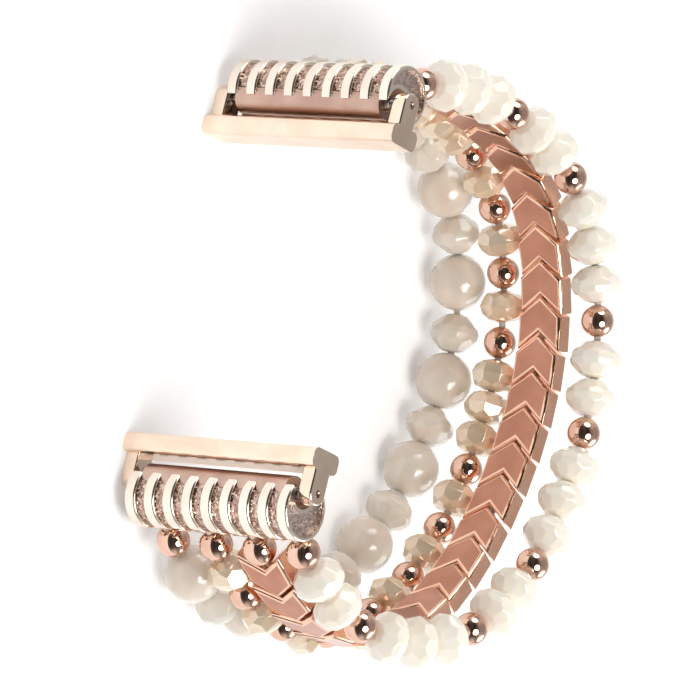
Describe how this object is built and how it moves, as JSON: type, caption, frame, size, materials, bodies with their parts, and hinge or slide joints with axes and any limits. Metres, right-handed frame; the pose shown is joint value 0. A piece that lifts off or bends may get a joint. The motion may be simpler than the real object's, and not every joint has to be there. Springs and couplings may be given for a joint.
{
  "type": "beaded watch band",
  "caption": "Stretch watch band: beads and chevrons on elastic cords between two ribbed connectors with sprung bars and slide-in lug rails.",
  "frame": {"origin": "centre of the bounding box in X and Y, on the table that the band lies on", "axes": "the band lies on its nine o'clock side: +Z is towards the crown side of the watch, -Y is out of the watch's face, -X is towards its twelve o'clock end and +X towards its six o'clock end"},
  "size_m": [0.0716, 0.0552, 0.0303],
  "materials": {
    "metal_balls": "mirror rose gold",
    "milky_rounds": "milky cream-white bead, glossy",
    "milky_rondelles": "milky faceted bead, glossy",
    "champagne_rondelles": "champagne faceted crystal, glossy",
    "chevron_beads": "satin rose gold with polished edges",
    "ivory_rondelles": "pearly ivory faceted bead, glossy",
    "elastic": "pale clear elastic cord",
    "connector_gold": "polished champagne gold with hammered rose gold grooves",
    "lug_gold": "polished champagne gold",
    "sleeve_metal": "satin rose gold",
    "crimp_metal": "plain metal",
    "latch_metal": "polished steel",
    "bar_steel": "plain steel",
    "spring_steel": "plain steel"
  },
  "bodies": {
    "band_1": {"metal_balls_1": "metal_balls", "milky_rounds_1": "milky_rounds", "milky_rondelles_1": "milky_rondelles", "champagne_rondelles_1": "champagne_rondelles", "chevron_beads_1": "chevron_beads", "ivory_rondelles_1": "ivory_rondelles", "elastic_cords_1": "elastic"},
    "band_2": {"metal_balls_2": "metal_balls", "milky_rounds_2": "milky_rounds", "milky_rondelles_2": "milky_rondelles", "champagne_rondelles_2": "champagne_rondelles", "chevron_beads_2": "chevron_beads", "ivory_rondelles_2": "ivory_rondelles", "elastic_cords_2": "elastic"},
    "band_3": {"metal_balls_3": "metal_balls", "milky_rounds_3": "milky_rounds", "milky_rondelles_3": "milky_rondelles", "champagne_rondelles_3": "champagne_rondelles", "chevron_beads_3": "chevron_beads", "ivory_rondelles_3": "ivory_rondelles", "elastic_cords_3": "elastic"},
    "band_4": {"metal_balls_4": "metal_balls", "milky_rounds_4": "milky_rounds", "milky_rondelles_4": "milky_rondelles", "champagne_rondelles_4": "champagne_rondelles", "chevron_beads_4": "chevron_beads", "ivory_rondelles_4": "ivory_rondelles", "elastic_cords_4": "elastic"},
    "band_5": {"metal_balls_5": "metal_balls", "milky_rounds_5": "milky_rounds", "milky_rondelles_5": "milky_rondelles", "champagne_rondelles_5": "champagne_rondelles", "chevron_beads_5": "chevron_beads", "ivory_rondelles_5": "ivory_rondelles", "elastic_cords_5": "elastic"},
    "connector_12": {"connector_shell_12": "connector_gold", "bar_sleeve_12": "sleeve_metal", "cord_crimps_12": "crimp_metal", "cord_stubs_12": "elastic"},
    "lug_12": {"lug_adapter_12": "lug_gold", "latch_spring_12": "spring_steel", "bar_tube_12": "bar_steel", "bar_spring_12": "spring_steel"},
    "pin_upper_12": {"bar_pin_upper_12": "bar_steel"},
    "pin_lower_12": {"bar_pin_lower_12": "bar_steel"},
    "latch_12": {"latch_pin_12": "latch_metal"},
    "connector_6": {"connector_shell_6": "connector_gold", "bar_sleeve_6": "sleeve_metal", "cord_crimps_6": "crimp_metal", "cord_stubs_6": "elastic"},
    "lug_6": {"lug_adapter_6": "lug_gold", "latch_spring_6": "spring_steel", "bar_tube_6": "bar_steel", "bar_spring_6": "spring_steel"},
    "pin_upper_6": {"bar_pin_upper_6": "bar_steel"},
    "pin_lower_6": {"bar_pin_lower_6": "bar_steel"},
    "latch_6": {"latch_pin_6": "latch_metal"}
  },
  "joints": [
    {"name": "flex_12_back", "type": "hinge", "parent": "band_3", "child": "band_2", "pos_m": [-0.01308, 0.0235, 0.01405], "axis": [0, 0, 1], "range_deg": [-12, 8]},
    {"name": "flex_12_side", "type": "hinge", "parent": "band_2", "child": "band_1", "pos_m": [-0.03148, 0.00684, 0.01405], "axis": [0, 0, 1], "range_deg": [-12, 8]},
    {"name": "flex_6_back", "type": "hinge", "parent": "band_3", "child": "band_4", "pos_m": [0.0106, 0.02145, 0.01405], "axis": [0, 0, 1], "range_deg": [-8, 12]},
    {"name": "flex_6_side", "type": "hinge", "parent": "band_4", "child": "band_5", "pos_m": [0.03019, 0.00509, 0.01405], "axis": [0, 0, 1], "range_deg": [-6, 12]},
    {"name": "stretch_12", "type": "slide", "parent": "band_1", "child": "connector_12", "axis": [0.309, -0.9511, 0], "range_m": [0, 0.006], "stiffness_N_per_m": 100, "springref_m": -0.006},
    {"name": "pivot_12", "type": "hinge", "parent": "connector_12", "child": "lug_12", "pos_m": [-0.02511, -0.02505, 0.01405], "axis": [0, 0, 1], "range_deg": [-20, 15]},
    {"name": "bar_pin_upper_12", "type": "slide", "parent": "lug_12", "child": "pin_upper_12", "axis": [0, 0, 1], "range_m": [-0.0017, 0], "stiffness_N_per_m": 30, "springref_m": 0.0015, "deforming": ["bar_spring_12"]},
    {"name": "bar_pin_lower_12", "type": "slide", "parent": "lug_12", "child": "pin_lower_12", "axis": [0, 0, 1], "range_m": [0, 0.0017], "stiffness_N_per_m": 30, "springref_m": -0.0015, "deforming": ["bar_spring_12"]},
    {"name": "latch_12", "type": "slide", "parent": "lug_12", "child": "latch_12", "axis": [0, 1, 0], "range_m": [-0.0005, 0], "stiffness_N_per_m": 50, "springref_m": 0.0005},
    {"name": "stretch_6", "type": "slide", "parent": "band_5", "child": "connector_6", "axis": [-0.4695, -0.8829, 0], "range_m": [0, 0.006], "stiffness_N_per_m": 100, "springref_m": -0.006},
    {"name": "pivot_6", "type": "hinge", "parent": "connector_6", "child": "lug_6", "pos_m": [0.02179, -0.02505, 0.01405], "axis": [0, 0, 1], "range_deg": [-15, 20]},
    {"name": "bar_pin_upper_6", "type": "slide", "parent": "lug_6", "child": "pin_upper_6", "axis": [0, 0, 1], "range_m": [-0.0017, 0], "stiffness_N_per_m": 30, "springref_m": 0.0015, "deforming": ["bar_spring_6"]},
    {"name": "bar_pin_lower_6", "type": "slide", "parent": "lug_6", "child": "pin_lower_6", "axis": [0, 0, 1], "range_m": [0, 0.0017], "stiffness_N_per_m": 30, "springref_m": -0.0015, "deforming": ["bar_spring_6"]},
    {"name": "latch_6", "type": "slide", "parent": "lug_6", "child": "latch_6", "axis": [0, 1, 0], "range_m": [-0.0005, 0], "stiffness_N_per_m": 50, "springref_m": 0.0005}
  ],
  "couplings": [
    {"joint": "stretch_6", "follows": "stretch_12", "ratio": 1}
  ]
}
